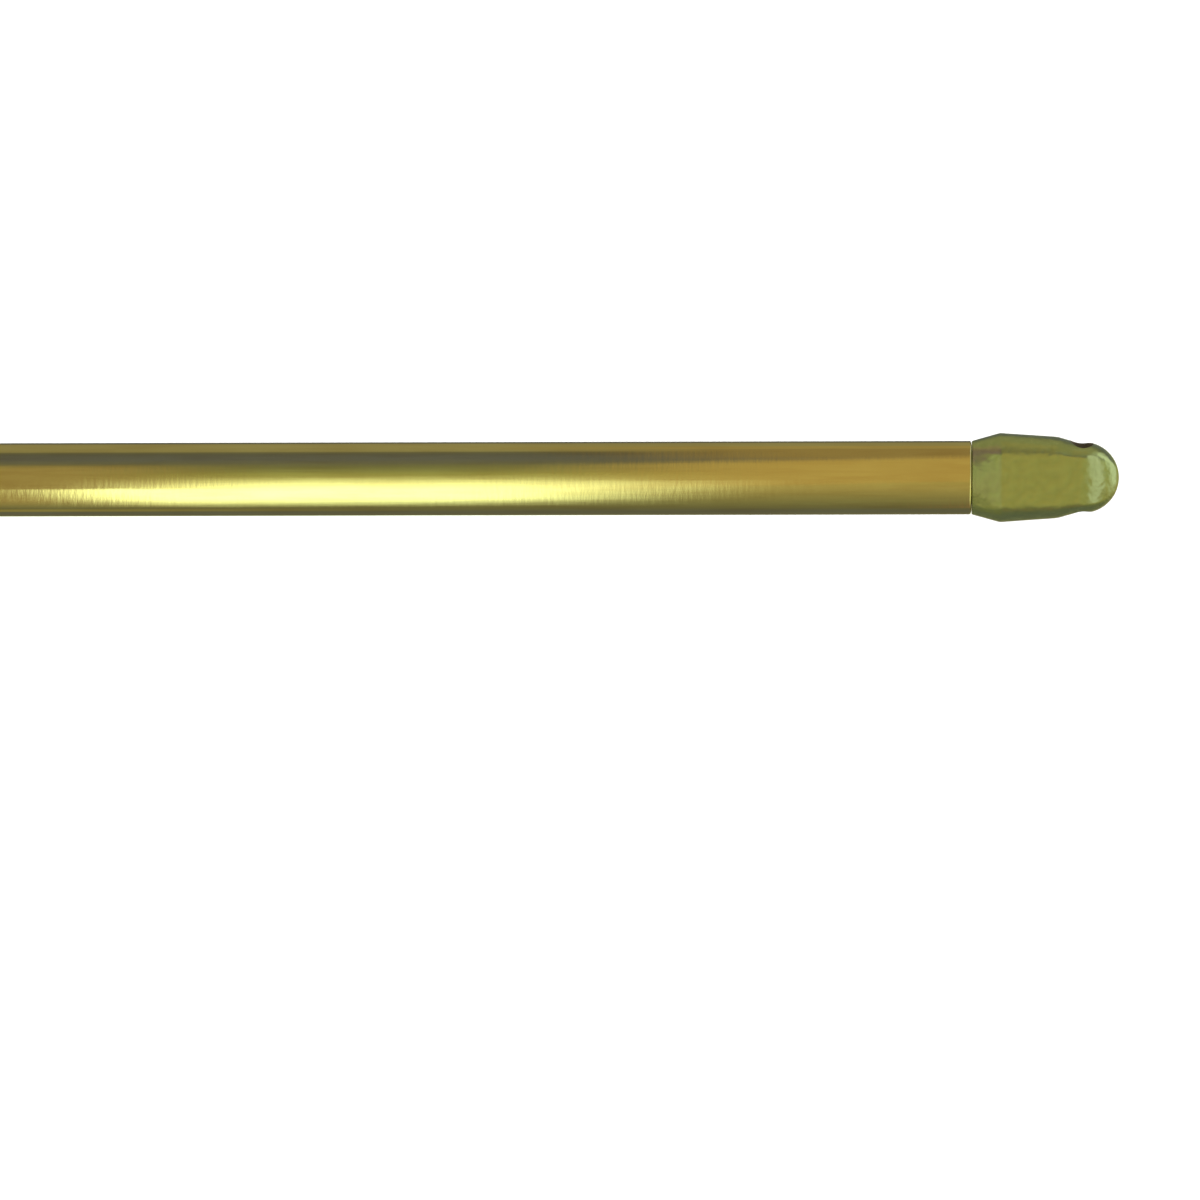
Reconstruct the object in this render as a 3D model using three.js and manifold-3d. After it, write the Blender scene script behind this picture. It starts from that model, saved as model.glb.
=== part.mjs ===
// Extendable flat-oval sash rod. Two roll-formed tubes telescope into each other, and each one ends
// in a bullet-shaped cap with an upright hole that drops over a hook on the window frame.
//
// Millimetres. +X runs along the rod to the nose of the fixed cap, +Y points to the window, +Z is up.
// The origin is the middle of the fixed cap's hook hole. The rod is drawn pushed fully together.
import * as THREE from 'three';
import { mergeVertices } from 'three/addons/utils/BufferGeometryUtils.js';
import Module from 'manifold-3d';

const wasm = await Module();
wasm.setup();

// ---- Driving dimensions ----

const CLOSED_LENGTH = 300; // nose to nose, pushed together
const TRAVEL = 200; // how far the inner tube pulls out

// A four-arc oval: half height (Z), half depth (Y) and the radius of its narrow edges.
const TUBE_OVAL = { halfHeight: 5.5, halfDepth: 2.6, edgeRadius: 2.1 };
const TUBE_WALL = 0.4;
const SEAM_GAP = 0.3; // lengthwise slit where the rolled strip's edges meet, at the back
const FIT_GAP = 0.1; // clearance around every piece that sits or slides inside another
const LINER_WALL = 0.4; // wall of the mouth guide's sleeve
const TUBE_TO_CAP_GAP = 0.12; // shadow line between a tube's end and its cap
const REST_GAP = 0.3; // between the mouth guide and the sliding cap, and at the outer stop

const CAP = {
  collarLength: 4.15, // flares from the tube's section to the widest one
  taperEnd: 12.7, // where the body's slight taper turns into the ramp to the hook hole
  rampEnd: 15.2,
  noseStart: 16.55, // centre of the nose's arc, seen from the front
  noseRadius: 5.25,
  collarHalfHeight: 6.65,
  taperHalfHeight: 6.05,
  rampHalfHeight: 5.3,
  halfDepth: 3.6,
  depthRoundingStart: 15.6, // from here to the tip the front and back faces curve inwards
  faceHalfHeight: 3.5, // flat part of the front and back faces
  rampFaceHalfHeight: 3.3,
  spigotLength: 14,
  spigotTaper: 0.35, // how much the spigot's tip narrows, all round
};

// The upright hook hole: its distance from the cap's mouth, and an oval opening that is long in depth.
const HOLE = { x: 16.3, halfLength: 1.65, halfDepth: 2.4 };

const GUIDE = { flange: 0.8, sleeveLength: 14 };
const BUSH = { headLength: 20, plugLength: 12, noseChamfer: 0.5 };
const SPRING_SEAT = { length: 15, width: 3.6, floor: 0.7 };
const SPRING = { length: 13.6, width: 3.0, thickness: 0.2, footLevel: 0.8, crownLevel: 2.05 };

const EDGE_STEPS = 14; // facets around a narrow edge
const FACE_STEPS = 10; // facets across a wide face
const NOSE_STEPS = 10;
const HOLE_STEPS = 40;
const SPRING_STEPS = 24;
const TIP_SHRINK = 0.1; // the nose ends in a tiny flat, this share of its last section
const WELD = 1e-4; // vertices closer than this are one
const OVERLAP = 1; // how far joined solids run into each other, and cutters past what they cut

// ---- Sizes that follow from the driving dimensions ----

const OUTER_BORE = grown(TUBE_OVAL, -TUBE_WALL);
const OUTER_FIT = grown(OUTER_BORE, -FIT_GAP);
const GUIDE_BORE = grown(OUTER_FIT, -LINER_WALL);
const INNER_TUBE_OVAL = grown(GUIDE_BORE, -FIT_GAP);
const INNER_BORE = grown(INNER_TUBE_OVAL, -TUBE_WALL);
const SPIGOT_OVAL = grown(INNER_BORE, -FIT_GAP);
const SLEEVE_BORE = grown(SPIGOT_OVAL, FIT_GAP);

const capLength = CAP.noseStart + CAP.noseRadius;
const fixedCapMouth = -HOLE.x;
const outerTubeRight = fixedCapMouth - TUBE_TO_CAP_GAP;
const slidingCapMouth = fixedCapMouth + 2 * capLength - CLOSED_LENGTH;
const guideLeft = slidingCapMouth + REST_GAP;
const outerTubeLeft = guideLeft + GUIDE.flange + FIT_GAP;
const guideRight = outerTubeLeft + GUIDE.sleeveLength;
const bushHeadLeft = guideRight + TRAVEL + REST_GAP;
const innerTubeLeft = slidingCapMouth + TUBE_TO_CAP_GAP;
const innerTubeRight = bushHeadLeft - FIT_GAP;

// ---- Sections and solids ----

function grown(oval, by) {
  return {
    halfHeight: oval.halfHeight + by,
    halfDepth: oval.halfDepth + by,
    edgeRadius: oval.edgeRadius + by,
  };
}

function arcPoints(centreY, centreZ, radiusY, radiusZ, from, to, steps) {
  const points = [];
  for (let i = 0; i < steps; i += 1) {
    const angle = from + ((to - from) * i) / steps;
    points.push([centreY + radiusY * Math.cos(angle), centreZ + radiusZ * Math.sin(angle)]);
  }
  return points;
}

// The ring of a four-arc oval as [y, z] pairs, anticlockwise seen from +X: back face, top edge,
// front face, bottom edge.
function ovalRing({ halfHeight, halfDepth, edgeRadius }) {
  const edgeCentre = halfHeight - edgeRadius;
  const faceRadius = (edgeCentre ** 2 + halfDepth ** 2 - edgeRadius ** 2) / (2 * (halfDepth - edgeRadius));
  const faceCentre = faceRadius - halfDepth;
  const turn = Math.atan2(edgeCentre, faceCentre);
  return [
    ...arcPoints(-faceCentre, 0, faceRadius, faceRadius, -turn, turn, FACE_STEPS),
    ...arcPoints(0, edgeCentre, edgeRadius, edgeRadius, turn, Math.PI - turn, EDGE_STEPS),
    ...arcPoints(faceCentre, 0, faceRadius, faceRadius, Math.PI - turn, Math.PI + turn, FACE_STEPS),
    ...arcPoints(0, -edgeCentre, edgeRadius, edgeRadius, Math.PI + turn, 2 * Math.PI - turn, EDGE_STEPS),
  ];
}

// The ring of the cap's body: flat front and back faces joined by elliptical edges.
function capRing({ halfHeight, halfDepth, faceHalfHeight }) {
  const edgeHeight = halfHeight - faceHalfHeight;
  const face = (y, from, to) =>
    Array.from({ length: FACE_STEPS }, (_, i) => [y, from + ((to - from) * i) / FACE_STEPS]);
  return [
    ...face(halfDepth, -faceHalfHeight, faceHalfHeight),
    ...arcPoints(0, faceHalfHeight, halfDepth, edgeHeight, 0, Math.PI, EDGE_STEPS),
    ...face(-halfDepth, faceHalfHeight, -faceHalfHeight),
    ...arcPoints(0, -faceHalfHeight, halfDepth, edgeHeight, Math.PI, 2 * Math.PI, EDGE_STEPS),
  ];
}

// A closed solid through rings of equal length, each { x, ring }, closed by a fan at both ends.
function loft(stations) {
  const count = stations[0].ring.length;
  const positions = stations.flatMap(({ x, ring }) => ring.flatMap(([y, z]) => [x, y, z]));
  const last = stations.length - 1;
  const firstCentre = stations.length * count;
  const lastCentre = firstCentre + 1;
  positions.push(stations[0].x, 0, 0, stations[last].x, 0, 0);

  const indices = [];
  for (let i = 0; i < count; i += 1) {
    const next = (i + 1) % count;
    for (let s = 0; s < last; s += 1) {
      const here = s * count;
      const there = here + count;
      indices.push(here + i, here + next, there + next);
      indices.push(here + i, there + next, there + i);
    }
    indices.push(firstCentre, next, i);
    indices.push(lastCentre, last * count + i, last * count + next);
  }

  const geometry = new THREE.BufferGeometry();
  geometry.setAttribute('position', new THREE.Float32BufferAttribute(positions, 3));
  geometry.setIndex(indices);
  return geometry;
}

// A prism along X whose section is a closed outline of [y, z] pairs.
function prism(outline, fromX, toX, holes = []) {
  const toVectors = (ring) => ring.map(([y, z]) => new THREE.Vector2(y, z));
  const shape = new THREE.Shape(toVectors(outline));
  shape.holes = holes.map((hole) => new THREE.Path(toVectors(hole)));
  const geometry = new THREE.ExtrudeGeometry(shape, { depth: toX - fromX, steps: 1, bevelEnabled: false });
  const alongX = new THREE.Matrix4().makeBasis(
    new THREE.Vector3(0, 1, 0),
    new THREE.Vector3(0, 0, 1),
    new THREE.Vector3(1, 0, 0),
  );
  geometry.applyMatrix4(alongX);
  geometry.translate(fromX, 0, 0);
  return geometry;
}

function solid(geometry) {
  const plain = geometry.clone();
  plain.deleteAttribute('normal');
  plain.deleteAttribute('uv');
  const merged = mergeVertices(plain, WELD);
  return new wasm.Manifold(
    new wasm.Mesh({
      numProp: 3,
      vertProperties: Float32Array.from(merged.attributes.position.array),
      triVerts: Uint32Array.from(merged.index.array),
    }),
  );
}

function geometryOf(manifold) {
  const mesh = manifold.getMesh();
  const geometry = new THREE.BufferGeometry();
  geometry.setAttribute('position', new THREE.Float32BufferAttribute(mesh.vertProperties, 3));
  geometry.setIndex(Array.from(mesh.triVerts));
  geometry.computeVertexNormals();
  return geometry;
}

// ---- Sub-parts ----

// A roll-formed tube: the oval strip's two edges stop either side of the slit in the back face.
function seamedTube(oval, fromX, toX) {
  const slitMiddle = FACE_STEPS / 2;
  const openAtSeam = (ring) => {
    const turned = [...ring.slice(slitMiddle), ...ring.slice(0, slitMiddle)];
    const backY = turned[0][0];
    return [[backY, SEAM_GAP / 2], ...turned.slice(1), [backY, -SEAM_GAP / 2]];
  };
  const outside = openAtSeam(ovalRing(oval));
  const inside = openAtSeam(ovalRing(grown(oval, -TUBE_WALL)));
  return prism([...outside, ...inside.reverse()], fromX, toX);
}

// The cap's outer body, its mouth at x = 0 and its nose towards +X.
function capBody() {
  const section = (x, halfHeight, halfDepth, faceHalfHeight) => ({
    x,
    ring: capRing({ halfHeight, halfDepth, faceHalfHeight }),
  });
  const depthAt = (x) => {
    const along = Math.max(0, x - CAP.depthRoundingStart) / (capLength - CAP.depthRoundingStart);
    return CAP.halfDepth * Math.sqrt(Math.max(0, 1 - along ** 2));
  };
  const stations = [
    { x: 0, ring: ovalRing(TUBE_OVAL) },
    section(CAP.collarLength, CAP.collarHalfHeight, CAP.halfDepth, CAP.faceHalfHeight),
    section(CAP.taperEnd, CAP.taperHalfHeight, CAP.halfDepth, CAP.faceHalfHeight),
    section(CAP.rampEnd, CAP.rampHalfHeight, CAP.halfDepth, CAP.rampFaceHalfHeight),
  ];
  for (let i = 0; i < NOSE_STEPS; i += 1) {
    const angle = (Math.PI / 2) * (i / NOSE_STEPS);
    const x = CAP.noseStart + CAP.noseRadius * Math.sin(angle);
    const shrink = Math.cos(angle);
    stations.push(section(x, CAP.noseRadius * shrink, depthAt(x), CAP.rampFaceHalfHeight * shrink));
  }
  const tipRing = stations[stations.length - 1].ring.map(([y, z]) => [y * TIP_SHRINK, z * TIP_SHRINK]);
  stations.push({ x: capLength, ring: tipRing });
  return loft(stations);
}

// The spigot that the tube is pressed onto, with a narrowed tip, reaching back from the mouth.
function capSpigot() {
  return loft([
    { x: -CAP.spigotLength, ring: ovalRing(grown(SPIGOT_OVAL, -CAP.spigotTaper)) },
    { x: -CAP.spigotLength + 2 * CAP.spigotTaper, ring: ovalRing(SPIGOT_OVAL) },
    { x: OVERLAP, ring: ovalRing(SPIGOT_OVAL) },
  ]);
}

function hookHoleCutter() {
  const height = 2 * (CAP.collarHalfHeight + OVERLAP);
  const bore = new THREE.CylinderGeometry(HOLE.halfLength, HOLE.halfLength, height, HOLE_STEPS);
  bore.rotateX(Math.PI / 2);
  bore.scale(1, HOLE.halfDepth / HOLE.halfLength, 1);
  bore.translate(HOLE.x, 0, 0);
  return solid(bore);
}

function endCap() {
  return geometryOf(solid(capBody()).add(solid(capSpigot())).subtract(hookHoleCutter()));
}

// Packs the cap's spigot out to the bore of the outer tube.
function spigotSleeve() {
  return prism(ovalRing(OUTER_FIT), fixedCapMouth - CAP.spigotLength, outerTubeRight, [
    ovalRing(SLEEVE_BORE),
  ]);
}

// Flanged liner at the outer tube's open mouth: it centres the inner tube and stops the bush.
function mouthGuide() {
  const flangeRight = guideLeft + GUIDE.flange;
  const flange = solid(prism(ovalRing(TUBE_OVAL), guideLeft, flangeRight));
  const sleeve = solid(prism(ovalRing(OUTER_FIT), guideLeft, guideRight));
  const bore = solid(prism(ovalRing(GUIDE_BORE), guideLeft - OVERLAP, guideRight + OVERLAP));
  return geometryOf(flange.add(sleeve).subtract(bore));
}

// Plug in the inner tube's hidden end. Its head runs in the outer tube and seats the spring.
function slideBush() {
  const headRight = bushHeadLeft + BUSH.headLength;
  const head = loft([
    { x: bushHeadLeft, ring: ovalRing(OUTER_FIT) },
    { x: headRight - BUSH.noseChamfer, ring: ovalRing(OUTER_FIT) },
    { x: headRight, ring: ovalRing(grown(OUTER_FIT, -BUSH.noseChamfer)) },
  ]);
  const plug = prism(ovalRing(SPIGOT_OVAL), bushHeadLeft - BUSH.plugLength, bushHeadLeft + OVERLAP);
  const seatDepth = OUTER_FIT.halfDepth;
  const seat = new THREE.BoxGeometry(SPRING_SEAT.length, seatDepth, SPRING_SEAT.width);
  const seatMiddle = bushHeadLeft + BUSH.headLength / 2;
  seat.translate(seatMiddle, -SPRING_SEAT.floor - seatDepth / 2, 0);
  return geometryOf(solid(head).add(solid(plug)).subtract(solid(seat)));
}

// Bowed strip in the bush: its feet lie on the seat and its crown presses on the tube's front wall.
function frictionSpring() {
  const rise = SPRING.crownLevel - SPRING.footLevel - SPRING.thickness;
  const halfLength = SPRING.length / 2;
  const radius = (halfLength ** 2 + rise ** 2) / (2 * rise);
  const halfTurn = Math.asin(halfLength / radius);
  const strip = new THREE.Shape();
  strip.absarc(0, 0, radius + SPRING.thickness, Math.PI / 2 - halfTurn, Math.PI / 2 + halfTurn, false);
  strip.absarc(0, 0, radius, Math.PI / 2 + halfTurn, Math.PI / 2 - halfTurn, true);
  const geometry = new THREE.ExtrudeGeometry(strip, {
    depth: SPRING.width,
    steps: 1,
    bevelEnabled: false,
    curveSegments: SPRING_STEPS,
  });
  geometry.translate(0, -radius - SPRING.thickness, -SPRING.width / 2);
  geometry.rotateX(Math.PI);
  geometry.translate(bushHeadLeft + BUSH.headLength / 2, -SPRING.crownLevel, 0);
  return geometry;
}

// ---- Assembly ----

const GILT_TUBE = { color: 0xa8863f, roughness: 0.28, metalness: 1.0 };
const GOLD_LACQUER = { color: 0x8d8942, roughness: 0.42, metalness: 0.75 };
const TAN_PLASTIC = { color: 0xb59a5e, roughness: 0.55, metalness: 0.0 };
const SPRING_STEEL = { color: 0x8c8f93, roughness: 0.3, metalness: 1.0 };

function part(name, geometry, finish) {
  const mesh = new THREE.Mesh(geometry, new THREE.MeshStandardMaterial(finish));
  mesh.name = name;
  return mesh;
}

const fixedCap = part('outer_end_cap', endCap(), GOLD_LACQUER);
fixedCap.position.x = fixedCapMouth;

const slidingCap = part('inner_end_cap', endCap(), GOLD_LACQUER);
slidingCap.rotation.z = Math.PI;
slidingCap.position.x = slidingCapMouth;

const outerHalf = new THREE.Group();
outerHalf.add(part('outer_tube', seamedTube(TUBE_OVAL, outerTubeLeft, outerTubeRight), GILT_TUBE));
outerHalf.add(fixedCap);
outerHalf.add(part('spigot_sleeve', spigotSleeve(), TAN_PLASTIC));
outerHalf.add(part('mouth_guide', mouthGuide(), TAN_PLASTIC));

const innerHalf = new THREE.Group();
innerHalf.add(part('inner_tube', seamedTube(INNER_TUBE_OVAL, innerTubeLeft, innerTubeRight), GILT_TUBE));
innerHalf.add(slidingCap);
innerHalf.add(part('slide_bush', slideBush(), TAN_PLASTIC));
innerHalf.add(part('friction_spring', frictionSpring(), SPRING_STEEL));

const rod = new THREE.Group();
rod.add(outerHalf);
rod.add(innerHalf);

export default rod;
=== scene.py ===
import math

import bmesh
import bpy
from mathutils import Matrix, Vector


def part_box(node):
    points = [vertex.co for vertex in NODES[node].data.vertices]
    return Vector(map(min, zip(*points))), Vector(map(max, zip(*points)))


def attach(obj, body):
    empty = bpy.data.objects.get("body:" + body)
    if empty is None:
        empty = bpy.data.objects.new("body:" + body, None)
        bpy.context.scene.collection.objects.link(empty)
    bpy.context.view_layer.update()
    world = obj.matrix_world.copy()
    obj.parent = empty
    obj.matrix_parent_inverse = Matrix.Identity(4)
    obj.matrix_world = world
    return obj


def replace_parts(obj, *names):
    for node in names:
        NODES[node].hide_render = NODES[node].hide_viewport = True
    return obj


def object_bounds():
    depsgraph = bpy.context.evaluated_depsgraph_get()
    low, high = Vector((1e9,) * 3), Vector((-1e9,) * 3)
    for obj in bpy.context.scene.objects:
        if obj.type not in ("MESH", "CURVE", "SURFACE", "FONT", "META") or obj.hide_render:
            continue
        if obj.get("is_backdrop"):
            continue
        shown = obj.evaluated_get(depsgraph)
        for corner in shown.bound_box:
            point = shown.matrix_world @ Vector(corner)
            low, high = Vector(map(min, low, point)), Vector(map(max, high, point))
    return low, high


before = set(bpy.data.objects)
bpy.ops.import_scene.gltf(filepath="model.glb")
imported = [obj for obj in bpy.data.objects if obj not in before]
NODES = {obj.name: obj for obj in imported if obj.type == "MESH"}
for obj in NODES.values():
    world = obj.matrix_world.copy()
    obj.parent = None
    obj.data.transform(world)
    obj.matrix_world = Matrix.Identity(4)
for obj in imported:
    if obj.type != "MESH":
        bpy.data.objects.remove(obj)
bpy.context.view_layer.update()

MM = 0.001

# ---- Sizes, in metres: the places come from the frame, the fine shapes from these ----

OUTER_EDGE_RADIUS = 2.1 * MM  # rounding of the outer tube's top and bottom edges
INNER_EDGE_RADIUS = 1.1 * MM
TUBE_WALL = 0.4 * MM
SEAM_GAP = 0.3 * MM
LIP_ROUND = 0.25 * MM  # outer rounding of a tube's cut ends
BORE_ROUND = 0.06 * MM  # inner rounding of a tube's cut ends
SEAM_ROUND = 0.1 * MM  # rounding of the strip's edges along the seam

EDGE_STEPS = 36  # steps round a narrow edge of a section
FACE_STEPS = 26  # steps across a wide face
LIP_STEPS = 8  # steps round a tube's cut end
NOSE_STEPS = 44  # steps from the nose's start to its tip
HOLE_STEPS = 96  # steps round the hook hole
FLARE_STEPS = 6  # steps up each of its flares
BODY_STEP = 0.16 * MM  # from one section of the cap's body to the next
APEX_STEP = 0.05 * MM  # the same, where the widest line is rounded
TUBE_CREASE, CAP_CREASE = 50, 28  # edges sharper than this many degrees stay creased

# The end cap, measured from its mouth towards its nose.
CAP_APEX = 4.15 * MM
CAP_TAPER_END = 12.7 * MM
CAP_RAMP_END = 15.2 * MM
CAP_NOSE_START = 16.55 * MM
CAP_NOSE_RADIUS = 5.25 * MM
CAP_HOLE = 16.3 * MM
CAP_DEPTH_ROUNDING = 15.6 * MM
CAP_SPIGOT = 14.0 * MM
SPIGOT_CHAMFER = 0.7 * MM  # length of the lead-in at the spigot's tip
SPIGOT_TIP_SCALE = 0.86
APEX_ROUNDING = 0.22 * MM  # the widest line is rounded over this much either side
HOLE_HALF_LENGTH, HOLE_HALF_DEPTH = 1.65 * MM, 2.4 * MM
HOLE_FLARE, HOLE_FLARE_LENGTH = 0.12 * MM, 0.6 * MM  # how far its mouths open out, and over what length
NOSE_CROWN = 0.5  # how far the nose's front and back turn from flat towards an oval
NOSE_EDGE_SHARE = 0.75  # edge radius of that oval, as a share of its half depth
NOSE_TIP_SCALE = 0.3  # size of the last section, by the one before it
NOSE_TIP_REACH = 0.9998  # where it lies, as a share of the nose's radius

MOUTH_HALF_HEIGHT, APEX_HALF_HEIGHT = 5.5 * MM, 6.65 * MM
TAPER_HALF_HEIGHT, RAMP_HALF_HEIGHT = 6.05 * MM, 5.3 * MM
MOUTH_HALF_DEPTH, CAP_HALF_DEPTH = 2.6 * MM, 3.6 * MM
FACE_HALF_HEIGHT, RAMP_FACE_HALF_HEIGHT = 3.5 * MM, 3.3 * MM
SPIGOT_OVAL = (4.0 * MM, 1.1 * MM, 0.6 * MM)  # half height, half depth, edge radius
CORNER_ROUNDINGS = (0.14 * MM, 0.6 * MM, 0.9 * MM)  # at the widest line, the taper's end, the ramp's end
MOUTH_EDGE = ((0.0, 0.99), (0.02 * MM, 0.996), (0.06 * MM, 0.9995))  # distance past the mouth, scale there
BODY_START = 0.2 * MM  # the first section past that edge


# ---- Sections ----


def arc(cy, cz, ry, rz, start, end, steps):
    """Points [y, z] on an elliptical arc, without its end point."""
    turns = [start + (end - start) * i / steps for i in range(steps)]
    return [Vector((cy + ry * math.cos(t), cz + rz * math.sin(t))) for t in turns]


def oval_ring(half_height, half_depth, edge_radius):
    """A four-arc oval: back face, top edge, front face, bottom edge."""
    edge_centre = half_height - edge_radius
    face_radius = (edge_centre**2 + half_depth**2 - edge_radius**2) / (2 * (half_depth - edge_radius))
    face_centre = face_radius - half_depth
    turn = math.atan2(edge_centre, face_centre)
    return (
        arc(-face_centre, 0, face_radius, face_radius, -turn, turn, FACE_STEPS)
        + arc(0, edge_centre, edge_radius, edge_radius, turn, math.pi - turn, EDGE_STEPS)
        + arc(face_centre, 0, face_radius, face_radius, math.pi - turn, math.pi + turn, FACE_STEPS)
        + arc(0, -edge_centre, edge_radius, edge_radius, math.pi + turn, 2 * math.pi - turn, EDGE_STEPS)
    )


def flat_ring(half_height, half_depth, face_half_height):
    """A section with flat front and back faces and elliptical edges, point for point like oval_ring."""
    edge_height = half_height - face_half_height

    def face(y, start, end):
        return [Vector((y, start + (end - start) * i / FACE_STEPS)) for i in range(FACE_STEPS)]

    return (
        face(half_depth, -face_half_height, face_half_height)
        + arc(0, face_half_height, half_depth, edge_height, 0, math.pi, EDGE_STEPS)
        + face(-half_depth, face_half_height, -face_half_height)
        + arc(0, -face_half_height, half_depth, edge_height, math.pi, 2 * math.pi, EDGE_STEPS)
    )


def mixed_ring(a, b, share):
    return [p.lerp(q, share) for p, q in zip(a, b)]


def scaled_ring(ring, factor):
    return [p * factor for p in ring]


# ---- Meshes ----


def new_piece(name, mesh):
    piece = bpy.data.objects.new(name, mesh)
    bpy.context.scene.collection.objects.link(piece)
    return piece


def skin(name, rings):
    """A closed piece over rings of points: each ring is joined to the next, and both ends are flat."""
    bm = bmesh.new()
    rows = [[bm.verts.new(point) for point in ring] for ring in rings]
    count = len(rows[0])
    for low, high in zip(rows, rows[1:]):
        for i in range(count):
            j = (i + 1) % count
            bm.faces.new((low[i], low[j], high[j], high[i]))
    bm.faces.new(rows[0][::-1])
    bm.faces.new(rows[-1])
    bmesh.ops.recalc_face_normals(bm, faces=bm.faces)
    mesh = bpy.data.meshes.new(name)
    bm.to_mesh(mesh)
    bm.free()
    return new_piece(name, mesh)


def loft(name, stations):
    """A closed piece along X through (x, section) stations."""
    return skin(name, [[(x, p.x, p.y) for p in section] for x, section in stations])


def smooth(piece, degrees):
    """Smooth shading, with creases sharper than this angle kept."""
    mesh = piece.data
    mesh.polygons.foreach_set("use_smooth", [True] * len(mesh.polygons))
    bm = bmesh.new()
    bm.from_mesh(mesh)
    limit = math.radians(degrees)
    for edge in bm.edges:
        edge.smooth = len(edge.link_faces) == 2 and edge.calc_face_angle(0) < limit
    bm.to_mesh(mesh)
    bm.free()


def apply_modifiers(piece):
    depsgraph = bpy.context.evaluated_depsgraph_get()
    mesh = bpy.data.meshes.new_from_object(piece.evaluated_get(depsgraph))
    piece.modifiers.clear()
    piece.data = mesh


def cut(piece, cutter):
    """Cuts the cutter out of the piece. The walls of the cut take the cutter's material."""
    boolean = piece.modifiers.new("cut", "BOOLEAN")
    boolean.object = cutter
    boolean.operation = "DIFFERENCE"
    boolean.solver = "EXACT"
    boolean.material_mode = "TRANSFER"
    apply_modifiers(piece)
    bpy.data.objects.remove(cutter)


# ---- Tubes ----


def opened_oval(half_height, half_depth, edge_radius, rounding):
    """An oval slit open along the middle of its back face. The slit's edges are rounded.

    A negative rounding is for the strip's inner side."""
    ring = oval_ring(half_height, half_depth, edge_radius)
    middle = FACE_STEPS // 2
    beside = SEAM_GAP / 2 + abs(rounding)
    first = [Vector((half_depth - rounding, SEAM_GAP / 2)), Vector((half_depth, beside))]
    last = [Vector((half_depth, -beside)), Vector((half_depth - rounding, -SEAM_GAP / 2))]
    return first + ring[middle + 1 :] + ring[:middle] + last


def strip_section(half_height, half_depth, edge_radius, thinned_outside, thinned_inside):
    """The open C of the rolled strip, thinned from its outside and inside by these amounts."""

    def side(inset, rounding):
        return opened_oval(half_height - inset, half_depth - inset, edge_radius - inset, rounding)

    outside = side(thinned_outside, SEAM_ROUND)
    inside = side(TUBE_WALL - thinned_inside, -SEAM_ROUND)
    return outside + inside[::-1]


def lip_sections():
    """(distance from the end, thinned outside, thinned inside) round a tube's cut end, towards the end."""
    sections = []
    for i in range(LIP_STEPS + 1):
        angle = math.pi / 2 * i / LIP_STEPS
        from_end = LIP_ROUND * (1 - math.sin(angle))
        outside = LIP_ROUND * (1 - math.cos(angle))
        sections.append((from_end, outside, BORE_ROUND * (i / LIP_STEPS) ** 2))
    return sections


def seamed_tube(name, node, material, edge_radius):
    """The roll-formed tube, with rounded cut ends."""
    low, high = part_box(node)

    def station(x, outside=0.0, inside=0.0):
        return x, strip_section(high.z, high.y, edge_radius, outside, inside)

    lip = lip_sections()
    straight_from = LIP_ROUND * 1.5  # the plain wall starts just past the rounding
    right = [station(high.x - straight_from)] + [station(high.x - d, o, n) for d, o, n in lip]
    left = [station(low.x + d, o, n) for d, o, n in reversed(lip)] + [station(low.x + straight_from)]
    tube = loft(name, left + right)
    dress(tube, material)
    smooth(tube, TUBE_CREASE)
    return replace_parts(tube, node)


# ---- End caps ----


def rounded_profile(corners, rounding, step):
    """A function x -> y through straight stretches. rounding says how far each inner corner is rounded."""
    samples = [corners[0]]
    for i in range(1, len(corners) - 1):
        before, corner, after = Vector(corners[i - 1]), Vector(corners[i]), Vector(corners[i + 1])
        reach = rounding[i - 1]
        start = corner + (before - corner) * (reach / (corner.x - before.x))
        end = corner + (after - corner) * (reach / (after.x - corner.x))
        count = max(4, int(2 * reach / step))
        for k in range(count + 1):
            t = k / count
            samples.append(tuple(start.lerp(corner, t).lerp(corner.lerp(end, t), t)))
    samples.append(corners[-1])

    def height(x):
        for (x0, y0), (x1, y1) in zip(samples, samples[1:]):
            if x <= x1:
                return y0 + (y1 - y0) * max(0.0, x - x0) / max(x1 - x0, 1e-9)
        return samples[-1][1]

    return height


def half_height_profile():
    """The cap's half height against x."""
    corners = [
        (0, APEX_HALF_HEIGHT),
        (CAP_APEX, APEX_HALF_HEIGHT),
        (CAP_TAPER_END, TAPER_HALF_HEIGHT),
        (CAP_RAMP_END, RAMP_HALF_HEIGHT),
        (CAP_NOSE_START, CAP_NOSE_RADIUS),
    ]
    return rounded_profile(corners, CORNER_ROUNDINGS, step=0.05 * MM)


def face_half_height_profile():
    """The half height of the cap's flat faces against x."""
    corners = [
        (0, FACE_HALF_HEIGHT),
        (CAP_TAPER_END, FACE_HALF_HEIGHT),
        (CAP_RAMP_END, RAMP_FACE_HALF_HEIGHT),
        (CAP_NOSE_START, RAMP_FACE_HALF_HEIGHT),
    ]
    return rounded_profile(corners, CORNER_ROUNDINGS[1:], step=0.1 * MM)


def cap_half_depth(x):
    """Level as far as CAP_DEPTH_ROUNDING, then an ellipse to the nose's tip."""
    along = max(0.0, x - CAP_DEPTH_ROUNDING) / (CAP_NOSE_START + CAP_NOSE_RADIUS - CAP_DEPTH_ROUNDING)
    return CAP_HALF_DEPTH * math.sqrt(max(0.0, 1 - along**2))


def out_of_mouth(x):
    """How far the section has turned from the tube's oval into the body's, 0 to 1."""
    past = (x - CAP_APEX) / APEX_ROUNDING
    if past >= 1:
        return 1.0
    if past <= -1:
        return x / CAP_APEX
    return 1 - (1 - past) ** 2 / 4 * APEX_ROUNDING / CAP_APEX


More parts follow.
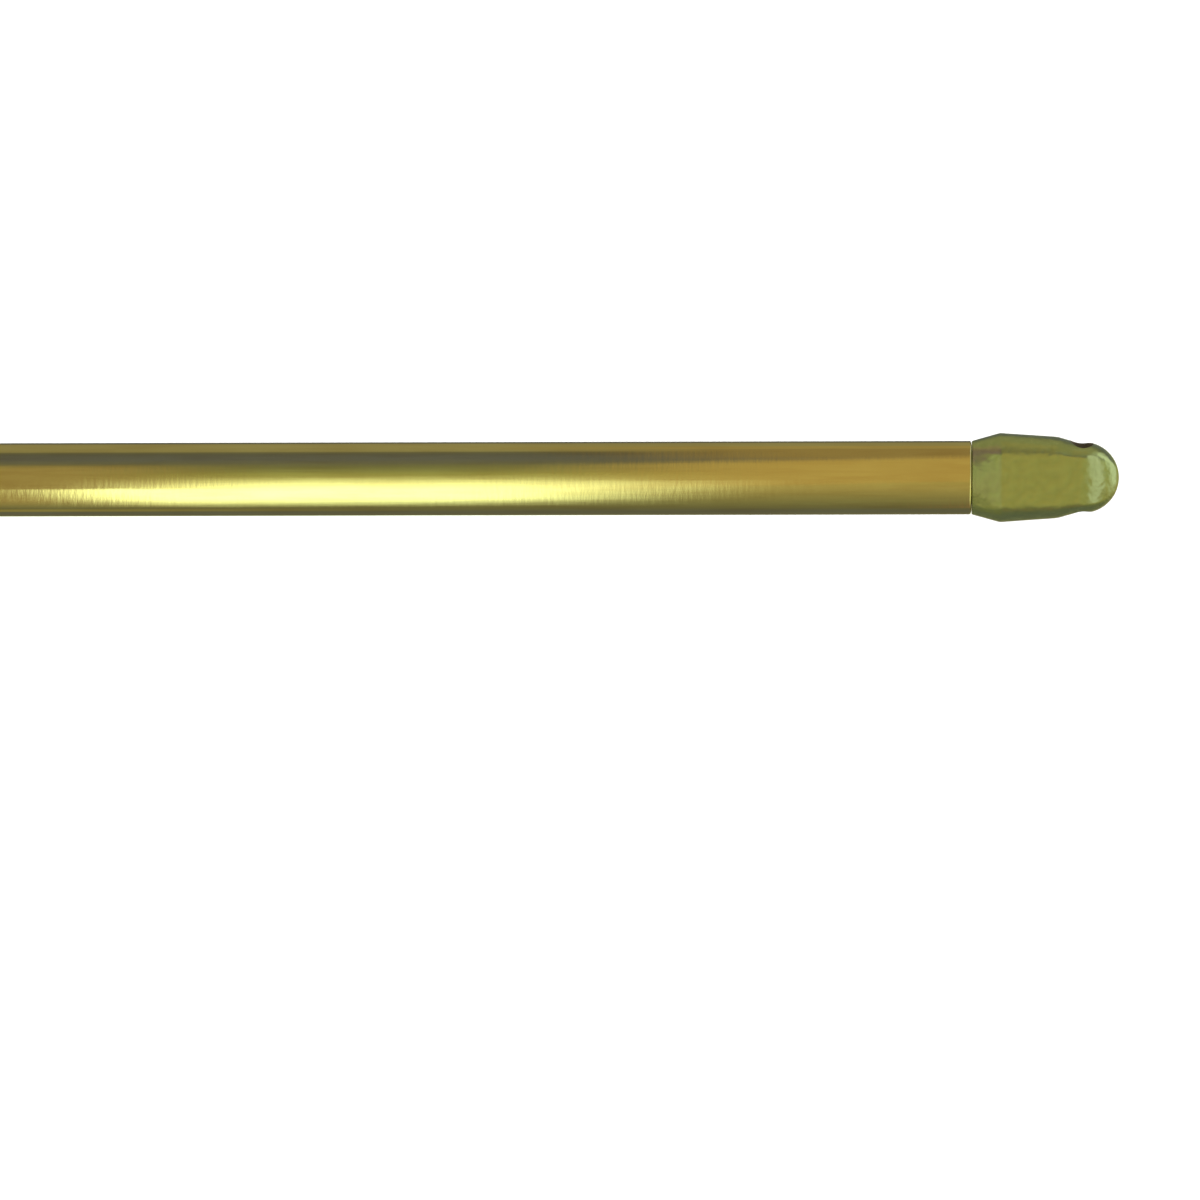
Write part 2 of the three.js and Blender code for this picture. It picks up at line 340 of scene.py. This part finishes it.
def spigot_stations():
    spigot = oval_ring(*SPIGOT_OVAL)
    tip = scaled_ring(spigot, SPIGOT_TIP_SCALE)
    return [(-CAP_SPIGOT, tip), (-CAP_SPIGOT + SPIGOT_CHAMFER, spigot), (0, spigot)]


def body_stations():
    """From the mouth, over the collar's widest line and the ramps, to the nose."""
    half_height = half_height_profile()
    face_half_height = face_half_height_profile()
    mouth = oval_ring(MOUTH_HALF_HEIGHT, MOUTH_HALF_DEPTH, OUTER_EDGE_RADIUS)
    stations = [(past, scaled_ring(mouth, scale)) for past, scale in MOUTH_EDGE]
    x = BODY_START
    while x < CAP_NOSE_START:
        body = flat_ring(half_height(x), cap_half_depth(x), face_half_height(x))
        stations.append((x, mixed_ring(mouth, body, out_of_mouth(x))))
        x += APEX_STEP if abs(x - CAP_APEX) < APEX_ROUNDING + APEX_STEP else BODY_STEP
    return stations


def nose_stations():
    """The round nose. Its flat front and back turn halfway into an oval towards the tip."""
    stations = []
    for i in range(NOSE_STEPS):
        angle = math.pi / 2 * i / NOSE_STEPS
        x = CAP_NOSE_START + CAP_NOSE_RADIUS * math.sin(angle)
        height, depth = CAP_NOSE_RADIUS * math.cos(angle), cap_half_depth(x)
        flat = flat_ring(height, depth, RAMP_FACE_HALF_HEIGHT * math.cos(angle))
        crowned = oval_ring(height, depth, NOSE_EDGE_SHARE * depth)
        share = NOSE_CROWN * (1 - math.cos(2 * angle)) / 2
        stations.append((x, mixed_ring(flat, crowned, share)))
    tip = scaled_ring(stations[-1][1], NOSE_TIP_SCALE)
    stations.append((CAP_NOSE_START + CAP_NOSE_RADIUS * NOSE_TIP_REACH, tip))
    return stations


def hook_hole_cutter():
    """An oval upright bore, flaring a little at both mouths where the cap's edges are."""
    flare_start = RAMP_HALF_HEIGHT - HOLE_FLARE_LENGTH
    shares = [k / FLARE_STEPS for k in range(FLARE_STEPS + 1)]
    upper = [(flare_start + HOLE_FLARE_LENGTH * share, HOLE_FLARE * share**2) for share in shares]
    upper.append((APEX_HALF_HEIGHT + 1 * MM, HOLE_FLARE))
    levels = [(-z, flare) for z, flare in reversed(upper)] + upper
    rings = []
    for z, flare in levels:
        half_length, half_depth = HOLE_HALF_LENGTH + flare, HOLE_HALF_DEPTH + flare
        outline = arc(CAP_HOLE, 0, half_length, half_depth, 0, 2 * math.pi, HOLE_STEPS)
        rings.append([(p.x, p.y, z) for p in outline])
    return skin("hook_hole_cutter", rings)


def end_cap(name, node, mouth_x, turned, lacquer, bore_shade):
    """A cap with its mouth at mouth_x, facing +X, or -X when turned. The hook hole's wall is dressed in a
    dark painted shade.
    """
    cap = loft(name, spigot_stations() + body_stations() + nose_stations())
    dress(cap, lacquer)
    cutter = hook_hole_cutter()
    # The bore's wall gets a dark brown colour: painted shade inside the hook hole.
    dress(cutter, bore_shade)
    cut(cap, cutter)
    place = Matrix.Translation((mouth_x, 0, 0))
    if turned:
        place = place @ Matrix.Rotation(math.pi, 4, "Z")
    cap.data.transform(place)
    smooth(cap, CAP_CREASE)
    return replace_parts(cap, node)


# ---- Materials ----


def new_material(name):
    material = bpy.data.materials.new(name)
    material.use_nodes = True
    tree = material.node_tree
    return material, tree, tree.nodes["Principled BSDF"]


def add_node(tree, kind, **settings):
    node = tree.nodes.new(kind)
    for key, value in settings.items():
        setattr(node, key, value)
    return node


def object_space(tree, scale):
    """Object coordinates, stretched by scale."""
    coordinates = add_node(tree, "ShaderNodeTexCoord")
    mapping = add_node(tree, "ShaderNodeMapping")
    mapping.inputs["Scale"].default_value = scale
    tree.links.new(coordinates.outputs["Object"], mapping.inputs["Vector"])
    return mapping.outputs["Vector"]


def noise(tree, vector, scale, detail=3.0, roughness=0.55):
    texture = add_node(tree, "ShaderNodeTexNoise")
    texture.inputs["Scale"].default_value = scale
    texture.inputs["Detail"].default_value = detail
    texture.inputs["Roughness"].default_value = roughness
    tree.links.new(vector, texture.inputs["Vector"])
    return texture.outputs["Fac"]


def ramp(tree, fac, stops):
    node = add_node(tree, "ShaderNodeValToRGB")
    elements = node.color_ramp.elements
    while len(elements) < len(stops):
        elements.new(0.5)
    for element, (position, colour) in zip(elements, stops):
        element.position = position
        element.color = (*colour, 1)
    tree.links.new(fac, node.inputs["Fac"])
    return node.outputs["Color"]


def map_range(tree, value, from_low, from_high, to_low, to_high):
    node = add_node(tree, "ShaderNodeMapRange")
    node.inputs["From Min"].default_value = from_low
    node.inputs["From Max"].default_value = from_high
    node.inputs["To Min"].default_value = to_low
    node.inputs["To Max"].default_value = to_high
    tree.links.new(value, node.inputs["Value"])
    return node.outputs["Result"]


def mix_colour(tree, fac, a, b):
    """From colour a to colour b. b may be a plain colour."""
    node = add_node(tree, "ShaderNodeMix", data_type="RGBA")
    tree.links.new(fac, node.inputs[0])
    tree.links.new(a, node.inputs[6])
    if isinstance(b, tuple):
        node.inputs[7].default_value = b
    else:
        tree.links.new(b, node.inputs[7])
    return node.outputs[2]


def bump(tree, height, strength, distance, before=None):
    node = add_node(tree, "ShaderNodeBump")
    node.inputs["Strength"].default_value = strength
    node.inputs["Distance"].default_value = distance
    tree.links.new(height, node.inputs["Height"])
    if before is not None:
        tree.links.new(before, node.inputs["Normal"])
    return node.outputs["Normal"]


def gilt_tube_material():
    """Gold-lacquered strip: drawn lines and darker streaks along its length, faint flecks across it."""
    material, tree, shader = new_material("gilt_tube")
    drawn = noise(tree, object_space(tree, (12, 2600, 2600)), 1.0, detail=3)
    flecks = noise(tree, object_space(tree, (1500, 420, 420)), 1.0, detail=3)
    streaks = noise(tree, object_space(tree, (70, 1100, 1100)), 1.0, detail=3)
    patches = noise(tree, object_space(tree, (60, 240, 240)), 1.0, detail=4)
    lacquer = ramp(tree, patches, [(0.3, (0.76, 0.645, 0.225)), (0.7, (0.85, 0.755, 0.28))])
    darker = ramp(tree, patches, [(0.3, (0.70, 0.565, 0.185)), (0.7, (0.76, 0.64, 0.225))])
    tint = mix_colour(tree, map_range(tree, streaks, 0.45, 0.75, 0, 1), lacquer, darker)
    tree.links.new(tint, shader.inputs["Base Color"])
    shader.inputs["Metallic"].default_value = 1.0
    tree.links.new(map_range(tree, flecks, 0.3, 0.7, 0.06, 0.10), shader.inputs["Roughness"])
    shader.inputs["Coat Weight"].default_value = 0.8
    shader.inputs["Coat Roughness"].default_value = 0.06
    normal = bump(tree, drawn, 1.0, 0.0000015)
    normal = bump(tree, flecks, 1.0, 0.000005, normal)
    normal = bump(tree, streaks, 1.0, 0.000005, normal)
    tree.links.new(normal, shader.inputs["Normal"])
    return material


def lacquered_casting_material():
    """Satin green-gold lacquer over a zinc casting, a little uneven from the mould."""
    material, tree, shader = new_material("gold_lacquer")
    fine = noise(tree, object_space(tree, (1, 1, 1)), 2600, detail=3)
    broad = noise(tree, object_space(tree, (1, 1, 1)), 900, detail=1.5)
    tint = ramp(tree, broad, [(0.3, (0.50, 0.57, 0.185)), (0.7, (0.56, 0.63, 0.215))])
    tree.links.new(tint, shader.inputs["Base Color"])
    shader.inputs["Metallic"].default_value = 0.95
    tree.links.new(map_range(tree, fine, 0.3, 0.7, 0.20, 0.25), shader.inputs["Roughness"])
    shader.inputs["Coat Weight"].default_value = 0.5
    shader.inputs["Coat Roughness"].default_value = 0.15
    normal = bump(tree, broad, 1.0, 0.00010)
    normal = bump(tree, fine, 1.0, 0.0000004, normal)
    tree.links.new(normal, shader.inputs["Normal"])
    return material


def painted_bore_shade_material():
    """The hook hole's wall: matt, barely metallic and coloured dark brown, a painted shade for the inside
    of the bore.
    """
    material, tree, shader = new_material("painted_bore_shade")
    grain = noise(tree, object_space(tree, (1, 1, 1)), 2600, detail=3)
    # Dark brown tint: painted shade for the inside of the hook hole.
    tint = ramp(tree, grain, [(0.3, (0.17, 0.135, 0.075)), (0.7, (0.23, 0.185, 0.105))])
    tree.links.new(tint, shader.inputs["Base Color"])
    shader.inputs["Metallic"].default_value = 0.3
    tree.links.new(map_range(tree, grain, 0.3, 0.7, 0.5, 0.65), shader.inputs["Roughness"])
    tree.links.new(bump(tree, grain, 0.3, 0.00002), shader.inputs["Normal"])
    return material


def moulded_plastic_material():
    material, tree, shader = new_material("tan_plastic")
    grain = noise(tree, object_space(tree, (1, 1, 1)), 3200, detail=3)
    tint = ramp(tree, grain, [(0.25, (0.30, 0.22, 0.085)), (0.75, (0.36, 0.27, 0.11))])
    tree.links.new(tint, shader.inputs["Base Color"])
    tree.links.new(map_range(tree, grain, 0.3, 0.7, 0.42, 0.55), shader.inputs["Roughness"])
    tree.links.new(bump(tree, grain, 0.2, 0.00003), shader.inputs["Normal"])
    return material


def spring_steel_material():
    material, tree, shader = new_material("spring_steel")
    rolled = noise(tree, object_space(tree, (60, 2400, 2400)), 1.0, detail=3)
    tint = ramp(tree, rolled, [(0.3, (0.50, 0.51, 0.53)), (0.7, (0.60, 0.61, 0.63))])
    tree.links.new(tint, shader.inputs["Base Color"])
    shader.inputs["Metallic"].default_value = 1.0
    tree.links.new(map_range(tree, rolled, 0.3, 0.7, 0.22, 0.34), shader.inputs["Roughness"])
    tree.links.new(bump(tree, rolled, 0.1, 0.00002), shader.inputs["Normal"])
    return material


def dress(piece, material):
    piece.data.materials.clear()
    piece.data.materials.append(material)


# ---- The rod ----


def put_on(piece, half):
    """Makes the piece move with that half of the rod."""
    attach(piece, f"{half}_half")


def build_rod():
    cap_length = CAP_NOSE_START + CAP_NOSE_RADIUS
    outer_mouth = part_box("outer_end_cap")[1].x - cap_length
    inner_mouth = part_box("inner_end_cap")[0].x + cap_length
    gilt = gilt_tube_material()
    # The second casting material is the dark painted shade for the hook hole's wall.
    castings = (lacquered_casting_material(), painted_bore_shade_material())
    plastic = moulded_plastic_material()
    for half, edge_radius in (("outer", OUTER_EDGE_RADIUS), ("inner", INNER_EDGE_RADIUS)):
        tube = seamed_tube(f"{half}_tube_skin", f"{half}_tube", gilt, edge_radius)
        put_on(tube, half)
    for half, mouth_x, turned in (("outer", outer_mouth, False), ("inner", inner_mouth, True)):
        cap = end_cap(f"{half}_cap_casting", f"{half}_end_cap", mouth_x, turned, *castings)
        put_on(cap, half)
    for node in ("spigot_sleeve", "mouth_guide", "slide_bush"):
        dress(NODES[node], plastic)
    dress(NODES["friction_spring"], spring_steel_material())


# ---- Studio ----

TILT = math.radians(10)  # the camera looks down on the rod by this much
ROLL = math.radians(0.14)
FRAME_WIDTH = 177.8 * MM  # width of the view at the rod
TIP_IN_FRAME = Vector((0.4327, 0.1012))  # the nose's tip from the frame's middle, as a share of its width
LENS = 250.0
SENSOR = 36.0
CARD_DISTANCE = 0.5  # the soft light cards stand this far from the rod
CARD_STEPS = 12
FLOOR_HALF_SIDE = 12.0
FLOOR_DROP = 0.5  # the floor lies this far below the rod


def add_camera():
    """Sets the camera and returns the middle of what it sees."""
    data = bpy.data.cameras.new("camera")
    data.lens, data.sensor_width = LENS, SENSOR
    camera = bpy.data.objects.new("camera", data)
    bpy.context.scene.collection.objects.link(camera)
    distance = FRAME_WIDTH * LENS / SENSOR
    forward = Vector((0, math.cos(TILT), -math.sin(TILT)))
    right = Vector((1, 0, 0))
    up = right.cross(forward)
    tip = Vector((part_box("outer_end_cap")[1].x, 0, 0))
    middle = tip - right * TIP_IN_FRAME.x * FRAME_WIDTH - up * TIP_IN_FRAME.y * FRAME_WIDTH
    turn = Matrix((right, up, -forward)).transposed().to_4x4()
    place = Matrix.Translation(middle - forward * distance)
    camera.matrix_world = place @ turn @ Matrix.Rotation(-ROLL, 4, "Z")
    data.clip_start, data.clip_end = 0.01, 50
    bpy.context.scene.camera = camera
    return middle


def fading_level(tree, fades):
    """1 over the card's middle, falling to 0 at its rims over these shares: left, right, bottom, top."""
    place = add_node(tree, "ShaderNodeTexCoord")
    split = add_node(tree, "ShaderNodeSeparateXYZ")
    tree.links.new(place.outputs["UV"], split.inputs[0])
    left, right, bottom, top = fades
    sides = [("X", 0, left), ("X", 1, 1 - right), ("Y", 0, bottom), ("Y", 1, 1 - top)]
    level = None
    for axis, dark_at, full_at in sides:
        soft = add_node(tree, "ShaderNodeMapRange", interpolation_type="SMOOTHSTEP")
        soft.inputs["From Min"].default_value = dark_at
        soft.inputs["From Max"].default_value = full_at
        tree.links.new(split.outputs[axis], soft.inputs["Value"])
        if level is None:
            level = soft.outputs["Result"]
            continue
        product = add_node(tree, "ShaderNodeMath", operation="MULTIPLY")
        tree.links.new(level, product.inputs[0])
        tree.links.new(soft.outputs["Result"], product.inputs[1])
        level = product.outputs[0]
    return level


def emission_material(name, colour, fades, glow):
    """An emitter with soft rims. A glow adds its light to what is behind it; otherwise it covers that."""
    material = bpy.data.materials.new(name)
    material.use_nodes = True
    tree = material.node_tree
    tree.nodes.clear()
    level = fading_level(tree, fades)
    emission = add_node(tree, "ShaderNodeEmission")
    emission.inputs["Color"].default_value = (*colour, 1)
    see_through = add_node(tree, "ShaderNodeBsdfTransparent")
    if glow:
        both = add_node(tree, "ShaderNodeAddShader")
        tree.links.new(level, emission.inputs["Strength"])
    else:
        both = add_node(tree, "ShaderNodeMixShader")
        tree.links.new(level, both.inputs["Fac"])
    tree.links.new(see_through.outputs[0], both.inputs[-2])
    tree.links.new(emission.outputs[0], both.inputs[-1])
    output = add_node(tree, "ShaderNodeOutputMaterial")
    tree.links.new(both.outputs[0], output.inputs["Surface"])
    return material


def card_mesh(name, width, height, foot, rise):
    """An upright card in its own XY plane.

    It narrows to foot times its width at the bottom, and its right side stands rise above its left."""
    bm = bmesh.new()
    uv_layer = bm.loops.layers.uv.new("card")
    shares = [i / CARD_STEPS for i in range(CARD_STEPS + 1)]

    def vert(u, v):
        x = (u - 0.5) * width * (foot + (1 - foot) * v)
        y = (v - 0.5) * height + (u - 0.5) * rise
        return bm.verts.new((x, y, 0))

    rows = [[(vert(u, v), (u, v)) for u in shares] for v in shares]
    for low, high in zip(rows, rows[1:]):
        for i in range(CARD_STEPS):
            corners = (low[i], low[i + 1], high[i + 1], high[i])
            face = bm.faces.new([corner[0] for corner in corners])
            for loop, corner in zip(face.loops, corners):
                loop[uv_layer].uv = corner[1]
    mesh = bpy.data.meshes.new(name)
    bm.to_mesh(mesh)
    bm.free()
    return mesh


def add_card(name, aim, direction, size, colour, fades, shape=(1.0, 0.0), lights=None):
    """A soft card CARD_DISTANCE from aim and facing it.

    direction is azimuth and elevation in degrees. Azimuth 0 is in front of the rod, 90 to its right.
    size is its width and height, and shape its foot and rise. A card that lights only one collection
    of pieces glows instead of covering what is behind it."""
    a, e = (math.radians(angle) for angle in direction)
    away = Vector((math.sin(a) * math.cos(e), -math.cos(a) * math.cos(e), math.sin(e)))
    across = Vector((math.cos(a), math.sin(a), 0))
    up = away.cross(across)
    card = new_piece(name, card_mesh(name, *size, *shape))
    turn = Matrix((across, up, away)).transposed().to_4x4()
    card.matrix_world = Matrix.Translation(aim + away * CARD_DISTANCE) @ turn
    card.data.materials.append(emission_material(name, colour, fades, lights is not None))
    if lights is not None:
        card.light_linking.receiver_collection = lights
    card.visible_camera = False
    card.visible_diffuse = False
    card.visible_shadow = False
    card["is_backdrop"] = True


def add_floor():
    """Plain and pale, far enough below the rod to take no shadow from it."""
    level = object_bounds()[0].z - FLOOR_DROP
    side = FLOOR_HALF_SIDE
    corners = [(-side, -side), (side, -side), (side, side), (-side, side)]
    mesh = bpy.data.meshes.new("floor")
    mesh.from_pydata([(x, y, level) for x, y in corners], [], [(0, 1, 2, 3)])
    floor = new_piece("floor", mesh)
    material = bpy.data.materials.new("floor")
    material.use_nodes = True
    shader = material.node_tree.nodes["Principled BSDF"]
    shader.inputs["Base Color"].default_value = (0.9, 0.9, 0.9, 1)
    shader.inputs["Roughness"].default_value = 1.0
    shader.inputs["Specular IOR Level"].default_value = 0.0
    floor.data.materials.append(material)
    floor.visible_glossy = False
    floor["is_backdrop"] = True


def add_world():
    """White behind the rod; what metal reflects is a dim room that changes with height."""
    world = bpy.data.worlds.new("studio")
    bpy.context.scene.world = world
    world.use_nodes = True
    tree = world.node_tree
    tree.nodes.clear()
    direction = add_node(tree, "ShaderNodeTexCoord")
    split = add_node(tree, "ShaderNodeSeparateXYZ")
    tree.links.new(direction.outputs["Generated"], split.inputs[0])
    height = map_range(tree, split.outputs["Z"], -1, 1, 0, 1)
    room = ramp(
        tree,
        height,
        [
            (0.0, (0.13, 0.14, 0.17)),
            (0.07, (0.145, 0.15, 0.135)),
            (0.16, (0.17, 0.17, 0.13)),
            (0.20, (0.22, 0.22, 0.15)),
            (0.28, (0.32, 0.29, 0.17)),
            (0.35, (0.42, 0.36, 0.20)),
            (0.43, (0.44, 0.41, 0.21)),
            (0.50, (0.36, 0.38, 0.19)),
            (0.54, (0.26, 0.28, 0.17)),
            (0.58, (0.19, 0.20, 0.14)),
            (0.62, (0.15, 0.155, 0.17)),
            (0.66, (0.13, 0.14, 0.21)),
            (0.72, (0.12, 0.125, 0.16)),
            (0.83, (0.15, 0.15, 0.14)),
            (0.89, (0.28, 0.26, 0.19)),
            (1.0, (0.30, 0.28, 0.205)),
        ],
    )
    seen = add_node(tree, "ShaderNodeLightPath")
    colour = mix_colour(tree, seen.outputs["Is Camera Ray"], room, (1.0, 1.0, 1.0, 1.0))
    background = add_node(tree, "ShaderNodeBackground")
    tree.links.new(colour, background.inputs["Color"])
    output = add_node(tree, "ShaderNodeOutputWorld")
    tree.links.new(background.outputs[0], output.inputs["Surface"])


def add_overhead_light():
    """Lights the floor evenly to white from straight above, without showing in the metal."""
    data = bpy.data.lights.new("overhead", "SUN")
    data.energy = 3.8
    data.angle = math.radians(60)
    light = bpy.data.objects.new("overhead", data)
    bpy.context.scene.collection.objects.link(light)
    light.visible_glossy = False


def collection_of(name, pieces):
    collection = bpy.data.collections.new(name)
    for piece in pieces:
        collection.objects.link(bpy.data.objects[piece])
    return collection


def add_front_cards(aim, tubes):
    """What the rod's front mirrors: warm cards above and beside one bright, cool key."""
    warm_cards = [
        # name, offset along the rod, elevation, size, colour, fades, shape
        ("warm", 0.075, 5, (0.21, 0.34), (0.50, 0.385, 0.19), (0.33, 0.15, 0.15, 0.2), (1.0, 0.20)),
        ("warm_upper", 0.055, 40, (0.155, 0.52), (0.30, 0.23, 0.135), (0.4, 0.1, 0.2, 0.2), (0.8, 0.0)),
        ("warm_top", 0.07, 77, (0.24, 0.30), (0.36, 0.29, 0.17), (0.4, 0.2, 0.2, 0.2), (1.0, 0.0)),
        ("warm_left", -0.125, -14, (0.11, 0.56), (0.36, 0.29, 0.165), (0.1, 0.4, 0.25, 0.16), (1.0, 0.0)),
        ("low_left", -0.110, -60, (0.20, 0.28), (0.26, 0.24, 0.135), (0.1, 0.6, 0.3, 0.3), (1.0, 0.0)),
    ]
    for name, offset, elevation, size, colour, fades, shape in warm_cards:
        add_card(name, aim + Vector((offset, 0, 0)), (0, elevation), size, colour, fades, shape)
    key_aim = aim + Vector((-0.045, 0, 0))
    key_fades = (0.20, 0.46, 0.36, 0.5)
    add_card("key", key_aim, (0, -21.5), (0.20, 0.385), (1.65, 2.0, 1.75), key_fades, (0.6, 0.03), tubes)


def add_cards_around(tubes):
    """The same kind of highlight on the tubes from the sides and from behind."""
    rod_middle = (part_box("outer_end_cap")[1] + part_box("inner_end_cap")[0]) / 2
    size, colour, fades = (0.26, 0.37), (1.2, 1.5, 1.2), (0.4, 0.4, 0.36, 0.5)
    for azimuth in (-38, 38, 142, 180, 218):
        add_card(f"around_{azimuth}", rod_middle, (azimuth, -20), size, colour, fades, lights=tubes)


def add_cap_cards(aim, caps):
    """What the fixed cap's collar, lower edge and nose mirror."""
    cap_cards = [
        # name, direction, size, colour, fades, lights
        ("collar_side", (-25, -9), (0.32, 0.36), (0.07, 0.08, 0.14), (0.15, 0.12, 0.25, 0.25), caps),
        ("collar_upper", (-48, 30), (0.45, 0.56), (0.13, 0.03, 0.08), (0.2, 0.2, 0.2, 0.2), caps),
        ("cap_lower", (6, -42), (0.10, 0.34), (0.26, 0.185, 0.14), (0.3, 0.2, 0.3, 0.3), None),
        ("nose_front", (38, 15), (0.42, 0.81), (0.70, 0.73, 0.85), (0.35, 0.3, 0.19, 0.25), None),
        ("nose_side", (92, 20), (0.58, 0.90), (0.82, 0.88, 1.02), (0.3, 0.3, 0.2, 0.3), None),
    ]
    for name, direction, size, colour, fades, lights in cap_cards:
        add_card(name, aim, direction, size, colour, fades, lights=lights)


def build_studio(middle_of_view):
    add_floor()
    add_world()
    add_overhead_light()
    tubes = collection_of("tubes", ("outer_tube_skin", "inner_tube_skin"))
    caps = collection_of("caps", ("outer_cap_casting", "inner_cap_casting"))
    add_front_cards(Vector((middle_of_view.x, 0, 0)), tubes)
    add_cards_around(tubes)
    add_cap_cards(Vector((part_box("outer_end_cap")[1].x, 0, 0)), caps)


bpy.context.scene.view_settings.view_transform = "Standard"
build_rod()
build_studio(add_camera())
